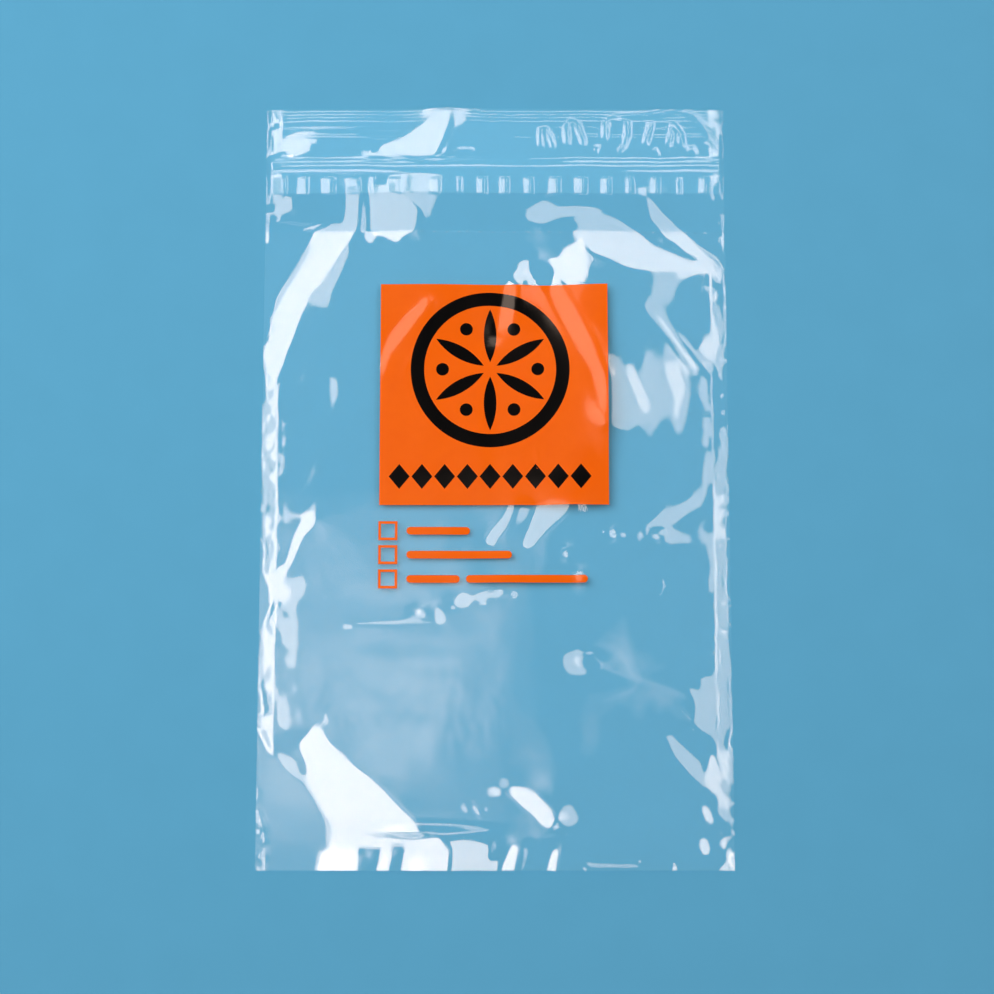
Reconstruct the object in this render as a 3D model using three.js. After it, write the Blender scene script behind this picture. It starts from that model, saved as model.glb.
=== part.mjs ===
// A clear zipper bag for specimens, lying flat with its printed side up.
// Millimetres, +Z up. X runs across the bag, +Y towards the mouth, and the origin is the
// middle of the footprint, on the surface that the bag lies on.
//
// The bag is three sheets of film, welded along both sides and near the bottom edge: a back wall,
// a front wall, and a document pocket wall over the front wall. A ribbed zipper track is laminated
// to the inner face of the back wall, and another to the inner face of the front wall.
import * as THREE from "three";

// Outline of the bag
const bagWidth = 152.4;
const lipLength = 19; // zipper centre to the mouth edge
const bodyLength = 232; // zipper centre to the bottom edge
const skirtLength = 10.7; // bottom weld to the bottom edge
const pocketMouthDrop = 23; // zipper centre to the edge of the document pocket

// Film and welds
const filmThickness = 0.05; // a 2 mil film
const sideWeldWidth = 0.8;
const bottomWeldWidth = 1.4;
const layerGap = 0.1; // between two films where they are pressed together

// How far the air in the bag lifts the films
const bodyPuff = 2.4; // front wall over the back wall, at the middle
const pocketPuff = 0.5; // pocket wall over the front wall, at the middle
const skirtLift = 0.15;
const sideRamp = 0.7; // from the side weld up to the zipper's full height
const flangeRamp = 16; // from the zipper's flange down to the body's own shape
const bottomRamp = 15; // from the body's own shape down to the bottom weld

// Zipper tracks
const flangeThickness = 0.12;
const flangeDrop = 9.7; // zipper centre to the lower edge of its flange
const ribPitch = 1.6;
const ribWidth = 0.36;
const ribHeight = 0.12;
const ribCount = 7;
const firstRibRise = 7.2; // zipper centre to the nearest rib
const channelWidth = 1.3; // inside the female track, between its jaws
const channelDepth = 1.05; // from the flange to the tips of the jaws
const jawThickness = 0.4;
const hookReach = 0.28; // how far each jaw's hook reaches over the channel
const hookThickness = 0.34;
const stemWidth = 0.36;
const trackClearance = 0.12; // between the male head and the female channel

// Places that follow from the sizes above
const bagLength = lipLength + bodyLength;
const mouthY = bagLength / 2;
const bottomY = -bagLength / 2;
const zipperY = mouthY - lipLength;
const flangeEndY = zipperY - flangeDrop;
const pocketMouthY = zipperY - pocketMouthDrop;
const bottomWeldY = bottomY + skirtLength;
const trackHalfLength = bagWidth / 2 - sideWeldWidth - sideRamp;
const femaleBaseZ = filmThickness;
const jawTipZ = femaleBaseZ + flangeThickness + channelDepth;
const maleBaseZ = jawTipZ + trackClearance;
const frontOverZipperZ = maleBaseZ + flangeThickness;
const frontAtWeldZ = filmThickness + layerGap;

// Colours of the object
const filmColour = 0xd9ecf5;
const trackColour = 0xe6f0f6;
const filmRoughness = 0.12;
const trackRoughness = 0.2;
const filmOpacity = 0.35;
const trackOpacity = 0.5;

function clearPlastic(colour, roughness, opacity) {
  return new THREE.MeshStandardMaterial({
    color: colour,
    roughness,
    metalness: 0,
    transparent: true,
    opacity,
  });
}

const smoothstep = (from, to, value) => THREE.MathUtils.smoothstep(value, from, to);
const lerp = THREE.MathUtils.lerp;

// Evenly spaced stations from one place to another, without the last.
function stations(from, to, count) {
  return Array.from({ length: count }, (_, i) => lerp(from, to, i / count));
}

// Columns of a raised film: narrow at the welds, wide between them.
const weldInnerX = bagWidth / 2 - sideWeldWidth;
const columns = [
  -bagWidth / 2,
  ...stations(-weldInnerX, -trackHalfLength, 3),
  ...stations(-trackHalfLength, trackHalfLength, 16),
  ...stations(trackHalfLength, weldInnerX, 3),
  weldInnerX,
  bagWidth / 2,
];

// Rows of a raised film, from the bottom edge to the mouth. The pocket wall ends at its own mouth.
const rowsUnderPocketMouth = [
  ...stations(bottomY, bottomWeldY - bottomWeldWidth / 2, 2),
  bottomWeldY - bottomWeldWidth / 2,
  ...stations(bottomWeldY + bottomWeldWidth / 2, bottomWeldY + bottomRamp, 4),
  ...stations(bottomWeldY + bottomRamp, pocketMouthY, 12),
  pocketMouthY,
];
const rowsOverPocketMouth = [
  ...stations(pocketMouthY, flangeEndY, 3).slice(1),
  ...stations(flangeEndY, mouthY, 3),
  mouthY,
];
const rows = [...rowsUnderPocketMouth, ...rowsOverPocketMouth];

// The back wall lies flat, so it needs only its edges.
const edgeColumns = [-bagWidth / 2, bagWidth / 2];
const edgeRows = [bottomY, mouthY];

// How far a film domes up, from 0 at its welds to 1 in the middle.
function dome(x, y) {
  const across = 1 - Math.pow(Math.min(1, Math.abs(x) / weldInnerX), 2.4);
  const along = smoothstep(bottomWeldY + bottomWeldWidth / 2, bottomWeldY + bottomRamp, y);
  return across * along;
}

// The underside of the front wall.
function frontZ(x, y) {
  const overWeld = frontAtWeldZ + (y < bottomWeldY - bottomWeldWidth ? skirtLift : 0);
  const zipperLift = frontOverZipperZ - frontAtWeldZ;
  const overZipper = zipperLift * (1 - smoothstep(trackHalfLength, weldInnerX, Math.abs(x)));
  const zipperShare = smoothstep(flangeEndY - flangeRamp, flangeEndY, y);
  return overWeld + lerp(bodyPuff * dome(x, y), overZipper, zipperShare);
}

// The underside of the pocket wall.
function pocketZ(x, y) {
  const skirt = y < bottomWeldY - bottomWeldWidth ? skirtLift : 0;
  return frontZ(x, y) + filmThickness + layerGap + skirt + pocketPuff * dome(x, y);
}

// A sheet of film as a subdivided slab, whose underside follows a height over the floor.
function film(name, sheetColumns, sheetRows, undersideZ) {
  const across = sheetColumns.length - 1;
  const along = sheetRows.length - 1;
  const slab = new THREE.BoxGeometry(1, 1, 1, across, along, 1);
  const corners = slab.getAttribute("position");
  for (let i = 0; i < corners.count; i++) {
    const x = sheetColumns[Math.round((corners.getX(i) + 0.5) * across)];
    const y = sheetRows[Math.round((corners.getY(i) + 0.5) * along)];
    const overUnderside = corners.getZ(i) > 0 ? filmThickness : 0;
    corners.setXYZ(i, x, y, undersideZ(x, y) + overUnderside);
  }
  const mesh = new THREE.Mesh(slab, clearPlastic(filmColour, filmRoughness, filmOpacity));
  mesh.name = name;
  return mesh;
}

// The flange's face with its grip ribs, as points of the section from the zipper to the mouth.
// up is 1 on the female track, whose ribs rise, and -1 on the male track, whose ribs hang down.
function ribPoints(faceZ, up) {
  const points = [];
  for (let i = 0; i < ribCount; i++) {
    const y = firstRibRise + i * ribPitch;
    points.push([y - ribWidth / 2, faceZ], [y - ribWidth / 4, faceZ + up * ribHeight]);
    points.push([y + ribWidth / 4, faceZ + up * ribHeight], [y + ribWidth / 2, faceZ]);
  }
  return points;
}

// The female track's section: a flange with two hooked jaws. Points are (Y from the zipper, Z).
function femaleSection() {
  const faceZ = femaleBaseZ + flangeThickness;
  const inner = channelWidth / 2;
  const outer = inner + jawThickness;
  const tipZ = jawTipZ;
  const hookZ = tipZ - hookThickness;
  return [
    [-flangeDrop, femaleBaseZ],
    [lipLength, femaleBaseZ],
    [lipLength, faceZ],
    ...ribPoints(faceZ, 1).reverse(),
    [outer, faceZ],
    [outer, tipZ - hookThickness / 2],
    [inner, tipZ],
    [inner - hookReach, hookZ],
    [inner, hookZ],
    [inner, faceZ],
    [-inner, faceZ],
    [-inner, hookZ],
    [-inner + hookReach, hookZ],
    [-inner, tipZ],
    [-outer, tipZ - hookThickness / 2],
    [-outer, faceZ],
    [-flangeDrop, faceZ],
  ];
}

// The male track's section: a flange with an arrow head on a stem, caught under the female hooks.
function maleSection() {
  const topZ = frontOverZipperZ;
  const faceZ = maleBaseZ;
  const headHalf = channelWidth / 2 - trackClearance;
  const headTopZ = jawTipZ - hookThickness - trackClearance;
  const headTipZ = femaleBaseZ + flangeThickness + trackClearance;
  const stem = stemWidth / 2;
  return [
    [-flangeDrop, topZ],
    [-flangeDrop, faceZ],
    [-stem, faceZ],
    [-stem, headTopZ],
    [-headHalf, headTopZ],
    [-stem, headTipZ],
    [stem, headTipZ],
    [headHalf, headTopZ],
    [stem, headTopZ],
    [stem, faceZ],
    ...ribPoints(faceZ, -1),
    [lipLength, faceZ],
    [lipLength, topZ],
  ];
}

// A zipper track: its section extruded across the bag.
function track(name, section) {
  const shape = new THREE.Shape(section.map(([y, z]) => new THREE.Vector2(y, z)));
  const length = 2 * trackHalfLength;
  const bar = new THREE.ExtrudeGeometry(shape, { depth: length, bevelEnabled: false });
  const along = new THREE.Vector3(1, 0, 0);
  const towardsMouth = new THREE.Vector3(0, 1, 0);
  const up = new THREE.Vector3(0, 0, 1);
  bar.applyMatrix4(new THREE.Matrix4().makeBasis(towardsMouth, up, along));
  const mesh = new THREE.Mesh(bar, clearPlastic(trackColour, trackRoughness, trackOpacity));
  mesh.name = name;
  mesh.position.set(-trackHalfLength, zipperY, 0);
  return mesh;
}

const bag = new THREE.Group();
bag.add(
  film("back_wall", edgeColumns, edgeRows, () => 0),
  film("front_wall", columns, rows, frontZ),
  film("document_pocket_wall", columns, rowsUnderPocketMouth, pocketZ),
  track("zipper_track_female", femaleSection()),
  track("zipper_track_male", maleSection()),
);

export default bag;
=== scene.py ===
import math

import bmesh
import bpy
import numpy as np
from mathutils import Matrix, Vector


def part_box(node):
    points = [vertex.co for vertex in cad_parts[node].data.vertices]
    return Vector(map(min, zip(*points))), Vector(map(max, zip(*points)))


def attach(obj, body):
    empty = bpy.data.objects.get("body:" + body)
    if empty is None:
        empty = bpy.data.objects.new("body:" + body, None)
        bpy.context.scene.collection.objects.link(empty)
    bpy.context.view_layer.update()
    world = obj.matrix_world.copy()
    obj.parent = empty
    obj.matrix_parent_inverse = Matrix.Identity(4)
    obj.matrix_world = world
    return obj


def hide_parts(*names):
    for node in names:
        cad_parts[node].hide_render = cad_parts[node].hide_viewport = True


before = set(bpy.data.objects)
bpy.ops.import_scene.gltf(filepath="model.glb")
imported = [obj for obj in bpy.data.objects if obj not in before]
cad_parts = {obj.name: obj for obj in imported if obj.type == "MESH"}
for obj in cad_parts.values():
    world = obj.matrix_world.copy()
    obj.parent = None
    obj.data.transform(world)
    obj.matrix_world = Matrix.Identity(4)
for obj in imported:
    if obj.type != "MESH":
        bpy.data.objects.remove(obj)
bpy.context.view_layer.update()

# A clear zipper bag lying flat. Shapes are worked out in millimetres in the frame's own axes, with
# X across the bag, Y towards the mouth and Z up, and become metres when a mesh is made.
MM = 0.001


def frame_box(node):
    """The lowest and highest corners of a CAD node, in millimetres."""
    low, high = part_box(node)
    return np.array(low) / MM, np.array(high) / MM


# Places taken from the frame
wall_low, wall_high = frame_box("back_wall")
pocket_high = frame_box("document_pocket_wall")[1]
male_low, male_high = frame_box("zipper_track_male")
female_low, female_high = frame_box("zipper_track_female")
HALF_WIDTH = wall_high[0]
MOUTH_Y = wall_high[1]
BOTTOM_Y = wall_low[1]
POCKET_MOUTH_Y = pocket_high[1]
FLANGE_END_Y = male_low[1]
TRACK_HALF_LENGTH = male_high[0]
OVER_ZIPPER_Z = male_high[2]

# Sizes of the bag
LIP_LENGTH = 19.0
SKIRT_LENGTH = 10.7
ZIPPER_Y = MOUTH_Y - LIP_LENGTH
WELD_Y = BOTTOM_Y + SKIRT_LENGTH

# Heights and shares of the films, and the lengths over which they change
BACK_Z = 0.06
WELD_Z = 0.3
LEAST_GAP = 0.1
LEAST_INNER_Z = 0.16
SKIRT_INNER_SHARE = 0.85 # of the outer film's height, at the bottom weld and below it
SKIRT_BACK_SHARE = 0.6 # of the outer film's rise, in the same place
ZIPPER_RAMP = 45.0 # over this length the film passes from the body's height to the zipper's
BODY_RAMP = 35.0 # over this length it rises from the bottom weld
BODY_PUFF = 2.4
SKIRT_PUFF = 0.8
INNER_SHARE = 0.5
WELD_REACH = 3.0
CRINKLE_START = 1.2 # how far in from the side the crinkle reaches its full height
CRINKLE_REACH = 2.4 # and how far in it fades
BODY_FACETS_END_Y = ZIPPER_Y - 3
LIP_FACETS_START_Y = ZIPPER_Y + 1

# The grid that every film is cut on
COLUMNS = 244
ROWS = 400
x_line = np.linspace(-HALF_WIDTH, HALF_WIDTH, COLUMNS + 1)
y_line = np.linspace(BOTTOM_Y, MOUTH_Y, ROWS + 1)
DX = x_line[1] - x_line[0]
DY = y_line[1] - y_line[0]
PAD_ROWS = 24 # rows added past a free edge of the film, so that the edge can move
SOLVER_STEPS = 24
LOOSE_HOLD = 0.15 # how firmly the film between the facets keeps its slope, against 1 on a facet
EDGE_HOLD = 0.01 # the same near the side welds
EDGE_BAND = 5.0 # width of the ramp at each side weld
CALM_ROUNDS = 5 # rounds that turn the film between the facets away from the panels
RIDGE_TAPER = 0.25 # of a ridge's length, over which each end fades
RIDGE_OVERHANG = 0.3
KEEP_LOW = 0.00006 # how firmly the film is drawn back to its plain height, per square millimetre


def step(low, high, value):
    """0 below low, 1 above high, and smooth between them."""
    t = np.clip((value - low) / (high - low), 0, 1)
    return t * t * (3 - 2 * t)


def inside(points, x, y, soft):
    """1 inside a closed outline, 0 outside it, and smooth over soft millimetres."""
    points = np.array(points, float)
    nearest = np.full(x.shape, 1e9)
    crossings = np.zeros(x.shape, bool)
    for a, b in zip(points, np.roll(points, -1, axis=0)):
        edge = b - a
        t = ((x - a[0]) * edge[0] + (y - a[1]) * edge[1]) / (edge @ edge)
        t = np.clip(t, 0, 1)
        nearest = np.minimum(nearest, np.hypot(x - a[0] - t * edge[0], y - a[1] - t * edge[1]))
        if a[1] != b[1]:
            between = (y >= min(a[1], b[1])) & (y < max(a[1], b[1]))
            crossings ^= between & (x < a[0] + (y - a[1]) * edge[0] / edge[1])
    signed = np.where(crossings, nearest, -nearest)
    return step(-soft / 2, soft / 2, signed)


def sine_sum(values):
    """The sine transform of each column, for a field that is 0 at both ends."""
    count = len(values)
    odd = np.zeros((2 * (count + 1), values.shape[1]))
    odd[1 : count + 1] = values
    odd[count + 2 :] = -values[::-1]
    return -0.5 * np.fft.fft(odd, axis=0).imag[1 : count + 1]


def flat_solve(pull):
    """The height whose Laplacian is this, and which is 0 all round its edge."""
    rows, columns = pull.shape
    waves = sine_sum(sine_sum(pull).T).T
    k_y = (2 * np.cos(np.pi * np.arange(1, rows + 1) / (rows + 1)) - 2) / DY**2
    k_x = (2 * np.cos(np.pi * np.arange(1, columns + 1) / (columns + 1)) - 2) / DX**2
    waves /= k_y[:, None] + k_x[None, :]
    return sine_sum(sine_sum(waves).T).T * 4 / ((rows + 1) * (columns + 1))


def spread_of(flow_x, flow_y):
    """The divergence of a flow that is known halfway between neighbouring points."""
    return (flow_x[1:-1, 1:] - flow_x[1:-1, :-1]) / DX + (flow_y[1:, 1:-1] - flow_y[:-1, 1:-1]) / DY


def height_from_slopes(slope_x, slope_y, hold, start):
    """The film's height, 0 round its edge, that keeps these slopes as well as it can.

    hold says how firmly each place keeps its slope. The film between the facets gives way.
    """
    hold_x = (hold[:, 1:] + hold[:, :-1]) / 2
    hold_y = (hold[1:] + hold[:-1]) / 2
    goal = spread_of(
        hold_x * (slope_x[:, 1:] + slope_x[:, :-1]) / 2,
        hold_y * (slope_y[1:] + slope_y[:-1]) / 2,
    )

    def pull_of(inner):
        height = np.pad(inner, 1)
        flow_x, flow_y = np.diff(height, axis=1) / DX, np.diff(height, axis=0) / DY
        return spread_of(hold_x * flow_x, hold_y * flow_y) - KEEP_LOW * inner

    inner = start[1:-1, 1:-1]
    left = goal - pull_of(inner)
    guess = flat_solve(left)
    way = guess
    size = (left * guess).sum()
    for _ in range(SOLVER_STEPS):
        pulled = pull_of(way)
        stride = size / (way * pulled).sum()
        inner = inner + stride * way
        left = left - stride * pulled
        guess = flat_solve(left)
        new_size = (left * guess).sum()
        way = guess + new_size / size * way
        size = new_size
    return np.pad(inner, 1)


def with_facets(plain, facets, low_y, high_y):
    """A plain film with facets (outline, panel, lean, soft) between two lines that stay put."""
    first = int(round((low_y - BOTTOM_Y) / DY))
    last = int(round((high_y - BOTTOM_Y) / DY))
    below = PAD_ROWS if first <= 0 else 0
    above = PAD_ROWS if last >= ROWS else 0
    rows = np.arange(first - below, last + above + 1)
    x, y = np.meshgrid(x_line, BOTTOM_Y + rows * DY)
    plain_y, plain_x = np.gradient(plain[np.clip(rows, 0, ROWS)], DY, DX)
    facet_x, facet_y = np.zeros(x.shape), np.zeros(x.shape)
    held = np.zeros(x.shape)
    for outline, panel, lean, soft in facets:
        share = inside(outline, x, y, soft)
        slope_x, slope_y = aimed(panel, lean, x, y)
        facet_x += (slope_x - facet_x) * share
        facet_y += (slope_y - facet_y) * share
        held = np.maximum(held, share)
    loose = np.where(np.abs(x) > HALF_WIDTH - EDGE_BAND, EDGE_HOLD, LOOSE_HOLD)
    held *= step(0, EDGE_BAND / 2, HALF_WIDTH - np.abs(x))
    hold = loose + (1 - loose) * held
    calm_x, calm_y, added = plain_x, plain_y, np.zeros(x.shape)
    for _ in range(CALM_ROUNDS):
        goal_x = facet_x * held + calm_x * (1 - held) - plain_x
        goal_y = facet_y * held + calm_y * (1 - held) - plain_y
        added = height_from_slopes(goal_x, goal_y, hold, added)
        slope_y, slope_x = np.gradient(added, DY, DX)
        calm_x = np.clip(slope_x + plain_x, CALM_X[0] + AIM_DRIFT * x, CALM_X[1] + AIM_DRIFT * x)
        calm_y = np.clip(slope_y + plain_y, CALM_Y[0] + AIM_DRIFT * y, CALM_Y[1] + AIM_DRIFT * y)
    height = plain.copy()
    height[first : last + 1] += added[below : below + last - first + 1]
    return height


def ridge(points, height, width, x, y):
    """A narrow raised line along a path, with its ends tapered."""
    points = np.array(points, float)
    lengths = np.hypot(*np.diff(points, axis=0).T)
    run = np.concatenate([[0], np.cumsum(lengths)])
    nearest = np.full(x.shape, 1e9)
    place = np.zeros(x.shape)
    for a, b, start, length in zip(points[:-1], points[1:], run, lengths):
        t = np.clip(((x - a[0]) * (b[0] - a[0]) + (y - a[1]) * (b[1] - a[1])) / length**2, 0, 1)
        away = np.hypot(x - a[0] - t * (b[0] - a[0]), y - a[1] - t * (b[1] - a[1]))
        closer = away < nearest
        nearest = np.where(closer, away, nearest)
        place = np.where(closer, start + t * length, place)
    taper = RIDGE_TAPER * run[-1]
    ends = step(-RIDGE_OVERHANG, taper, place) * step(-RIDGE_OVERHANG, taper, run[-1] - place)
    return height * ends * np.exp(-((nearest / width) ** 2))


def ripple(seed, along_x, along_y, size):
    """Smooth random relief with waves of about these lengths and this height."""
    random = np.random.default_rng(seed)
    noise = random.standard_normal((ROWS + 1, COLUMNS + 1))
    k_y = np.fft.fftfreq(ROWS + 1, DY)[:, None]
    k_x = np.fft.fftfreq(COLUMNS + 1, DX)[None, :]
    spread = np.exp(-((k_x * along_x) ** 2 + (k_y * along_y) ** 2) / 0.35)
    waves = np.fft.ifft2(np.fft.fft2(noise) * spread).real
    return size * waves / waves.std()


def ripples(list_of_ripples):
    return sum(ripple(*values) for values in list_of_ripples)


# The films' small waves: seed, length across the bag, length along it and height
BODY_RIPPLES = [(1, 9, 22, 0.05), (2, 3.5, 5, 0.008)]
LOW_RIPPLES = [(7, 26, 6, 0.045), (8, 12, 9, 0.03)]
EDGE_RIPPLES = [(11, 5, 1.7, 0.16), (12, 8, 4, 0.3)]
BAND_RIPPLE = (13, 40, 4, 0.2) # how the width of the side ramp wanders, as a share of it
INNER_RIPPLE = (3, 12, 18, 0.06)
SPECKLE_RIPPLE = (5, 2.2, 2.2, 0.02)
BACK_RIPPLE = (4, 16, 16, 0.03)

# A facet faces one of the room's light panels. The slope that does so changes slowly over the bag:
# it is AIM_DRIFT times the place, plus an offset, along the axis where the panel is narrow.
AIM_DRIFT = 0.00118
AIMS = {"left": ("x", 0.21), "right": ("x", -0.23), "far": ("y", -0.277), "near": ("y", 0.383)}
# Film between facets stays between these slopes, plus the same drift, and so it faces no panel
CALM_X = (-0.14, 0.105)
CALM_Y = (-0.185, 0.30)


def aimed(panel, lean, x, y):
    """The slope along X and Y that faces a panel, with a free lean along its long side."""
    axis, offset = AIMS[panel]
    if axis == "x":
        return AIM_DRIFT * x + offset, np.full(x.shape, lean)
    return np.full(x.shape, lean), AIM_DRIFT * y + offset


grid_x, grid_y = np.meshgrid(x_line, y_line)
at_weld = np.exp(-(((grid_y - WELD_Y) / WELD_REACH) ** 2))
joined = np.maximum(at_weld, 1 - step(WELD_Y - 1, WELD_Y, grid_y))
WELD_RIDGES = [(0.9, 0.02), (-0.9, 0.03)] # distance from the weld's middle, and height
WELD_RIDGE_WIDTH = 0.45

# Facets that the pocket film and the front film share: outline, panel, lean and soft edge
BODY_FACETS = [
    # left, under the zipper
    ([(-78, 26), (-78, 70), (-74.5, 71), (-72.5, 77), (-66, 81), (-58, 83.5), (-51, 85.5),
      (-49.5, 90), (-49.5, 98), (-45, 98), (-45, 85), (-48, 80), (-52, 74), (-57, 67), (-61, 62),
      (-64, 56), (-66, 49), (-70, 37), (-74, 27)], "left", -0.07, 1.6),
    ([(-76, 88.5), (-72, 94), (-68, 94.5), (-67, 92), (-71, 90)], "left", 0.02, 1.2),
    # right, under the zipper
    ([(30.5, 77), (30.5, 82), (32, 87), (35, 90), (38, 89), (43, 86.5), (47, 83.5), (51, 80),
      (56, 77.5), (60, 76), (65, 74), (68, 71), (60, 69.5), (50, 69.5), (43, 71), (37, 74),
      (33, 75)], "far", -0.09, 1.6),
    ([(51, 98), (53, 96), (55, 92), (58, 89), (61, 86.5), (64, 84.5), (69, 84), (71, 80),
      (73, 76.5), (68, 75), (62, 76.5), (59, 80), (55.5, 82), (53.5, 86), (52.5, 91)],
     "far", -0.16, 1.0),
    # right side
    ([(66, 43.5), (69.5, 46.5), (74, 48), (78, 49), (78, 41), (72, 39.5), (69, 41)],
     "right", 0.04, 1.0),
    # left side, low down
    ([(-58, -12), (-62, -13), (-65, -18), (-68, -28), (-75, -33), (-78, -40), (-75, -44),
      (-71, -37), (-66, -27), (-62, -18), (-58, -14)], "left", 0.02, 1.2),
    # bottom left
    ([(-61, -84), (-58, -81.5), (-55.5, -81), (-54.5, -83), (-53, -86), (-50, -89), (-45, -93),
      (-40, -96.5), (-35, -100.5), (-30, -105.5), (-26, -109), (-23, -113.5), (-50, -113.5),
      (-53, -111), (-58, -108.5), (-62, -106), (-66, -104), (-70, -102.5), (-73, -99), (-78, -95),
      (-78, -85.5), (-71, -90), (-66, -93), (-60, -94.8), (-60.3, -91), (-62, -88), (-63, -86)],
     "left", 0.06, 1.0),
    ([(-78, -105), (-75, -107), (-72.5, -113.5), (-78, -113.5)], "left", 0.05, 0.8),
    # bottom middle
    ([(2, -100), (8, -101), (14, -103), (18, -106), (19.5, -109.5), (18, -111.5), (13, -108.5),
      (7, -104)], "left", 0.05, 0.8),
    # bottom right
    ([(69.5, -87.5), (71, -91), (73, -97), (78, -104), (70, -101), (66.5, -97.5), (67.5, -93)],
     "right", 0.02, 0.8),
    ([(65, -105.3), (69, -107.5), (70.5, -111), (67, -108.5)], "right", 0.05, 0.7),
    # skirt under the bottom weld
    ([(-78, -115), (-73, -115), (-72, -130), (-78, -130)], "left", 0, 0.8),
    ([(-69, -130), (-66, -121.5), (-63, -117), (-60, -116.3), (-58, -119.5), (-48, -120.5),
      (-43, -120), (-44, -130)], "left", -0.02, 0.9),
    ([(-55, -116), (-30, -115.6), (-17, -116), (-14, -119), (-15, -130), (-31, -130), (-29, -120),
      (-35, -118.5), (-55, -118)], "left", 0, 0.9),
    ([(-39, -130), (-36, -119.5), (-32, -120), (-35, -130)], "left", 0, 0.8),
    ([(-1, -116.5), (0.5, -119), (-1, -120)], "left", 0, 0.8),
    ([(0, -130), (3, -122), (5, -118), (8, -118), (5, -130)], "left", -0.02, 0.8),
    ([(15, -130), (18, -119.5), (20.5, -119), (18.5, -130)], "left", -0.02, 0.8),
    ([(27.5, -121.5), (31, -123), (45, -123.3), (46.5, -125), (30, -124.7)], "near", 0, 0.8),
    ([(55.5, -130), (57, -120.5), (58.5, -130)], "right", 0, 0.8),
    ([(64.5, -117), (66.5, -116.3), (69, -119), (66, -120)], "right", 0, 0.8),
]

# Facets of the uppermost film alone
OUTER_FACETS = [
    # left, under the zipper
    ([(-42, 98), (-30, 95), (-25, 91), (-26, 84), (-42, 84)], "left", 0, 2.0),
    # right, under the zipper
    ([(11.5, 88), (12.5, 92), (15.5, 94.5), (18.5, 94), (20, 92), (26, 92.5), (34, 91.8),
      (37, 89.8), (33, 89.5), (26, 89), (20, 88), (16, 85.5), (13, 86)], "far", 0, 1.6),
    # across the panel
    ([(14, 72), (21, 68), (26, 58), (32, 47), (37, 33), (37, 19), (34, 24), (31, 35), (25, 47),
      (19, 58)], "left", -0.1, 3.0),
    ([(-37, 33), (-34, 43), (-28, 50), (-21, 59), (-23, 61), (-30, 54), (-35, 48), (-38, 40)],
     "left", -0.08, 2.2),
    ([(0, 48), (3, 66), (8, 66), (6, 52)], "left", 0, 2.5),
    # right side
    ([(66, -4), (61, -8), (52, -13), (46, -15), (50, -16), (60, -13), (68, -7)], "right", 0.1, 1.8),
    # under the panel
    ([(4, -9), (2, -13), (-4, -20), (-1, -20.5), (4, -16), (7, -9)], "left", -0.04, 1.5),
    ([(13, -9), (11, -15), (8, -21.5), (13, -20.5), (18, -16), (26, -9)], "left", -0.08, 2.0),
    ([(-20.5, -42.3), (-17, -43.3), (-14.8, -46.2), (-19, -46.3)], "left", -0.1, 0.5),
    ([(-27, -43), (-23, -43), (-21.3, -44.8), (-24, -45)], "left", -0.1, 0.5),
    ([(-72, -46), (-71, -44), (-69.5, -42.8), (-68.8, -44.5), (-70, -45.3)], "left", 0, 0.5),
    ([(36.5, -17.2), (38.5, -16.6), (40.3, -18.2), (38, -19.2)], "left", -0.05, 0.4),
    ([(50, -17.6), (54, -18.2), (55, -19.4), (51, -19.2)], "left", -0.05, 0.4),
    ([(21.8, -23), (24.8, -24), (24, -25.2), (22, -24.4)], "left", -0.05, 0.4),
    ([(25, -30.8), (29.5, -31.4), (29, -32.6), (25.5, -32)], "left", -0.05, 0.4),
    ([(-14, -39), (4, -37), (5, -38), (-13, -40.4)], "left", -0.05, 0.5),
    ([(-20, -46), (-46, -46.6), (-46, -47.4), (-20, -47)], "far", -0.05, 0.5),
    ([(30, -58.5), (45, -63.5), (62, -70), (66, -72.5), (44, -65), (30, -60)], "left", -0.05, 0.8),
    # bottom right
    ([(55.5, -84.5), (57.5, -84), (62, -88), (66.5, -92), (67, -98), (62, -95), (57, -89)],
     "right", -0.1, 1.2),
    ([(63, -79), (66, -67), (71.5, -70), (70.5, -82)], "right", 0, 1.2),
    # bottom left
    ([(-8.5, -104), (-5, -106), (-3.8, -109), (-7, -107)], "left", 0.1, 0.8),
]

# Facets of the film under it alone
INNER_FACETS = [
    ([(-57, 66), (-45, 85), (-29, 85), (-33, 77), (-38, 70), (-43, 65), (-50, 63)],
     "left", -0.07, 2.5),
    ([(-8, 66), (0, 68), (12, 64), (18, 70), (16, 80), (8, 84), (-3, 84), (-9, 78)],
     "far", 0, 7.0),
    ([(40, 68), (50, 61), (57, 54), (63, 44), (74, 29), (70, 31), (62, 40), (54, 51), (46, 60)],
     "right", 0.05, 2.2),
    ([(42, 38), (46, 36), (52, 24), (48, 22)], "right", 0.05, 2.5),
    ([(54, 40), (60, 36), (66, 24), (60, 24)], "right", 0.05, 2.5),
    ([(28, -58), (40, -61), (45, -66), (40, -66), (34, -62)], "left", 0.05, 2.2),
]
# The finely speckled area of that film, and how far it fades out
SPECKLE = [(-70, -56), (-20, -56), (2, -64), (3, -83), (-12, -88), (-40, -83.5), (-60, -82)]
SPECKLE_FADE = 8.0

# Facets of the lip over the zipper
LIP_FACETS = [
    ([(-71, 111.5), (-72, 114), (-69, 116), (-64, 115), (-60, 112.5)], "left", 0, 1.0),
    ([(-41, 110), (-38, 113.5), (-30, 116), (-25, 119), (-20, 124), (-14, 124), (-16, 118),
      (-18, 113), (-19, 110.5)], "left", 0, 1.6),
]

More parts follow.
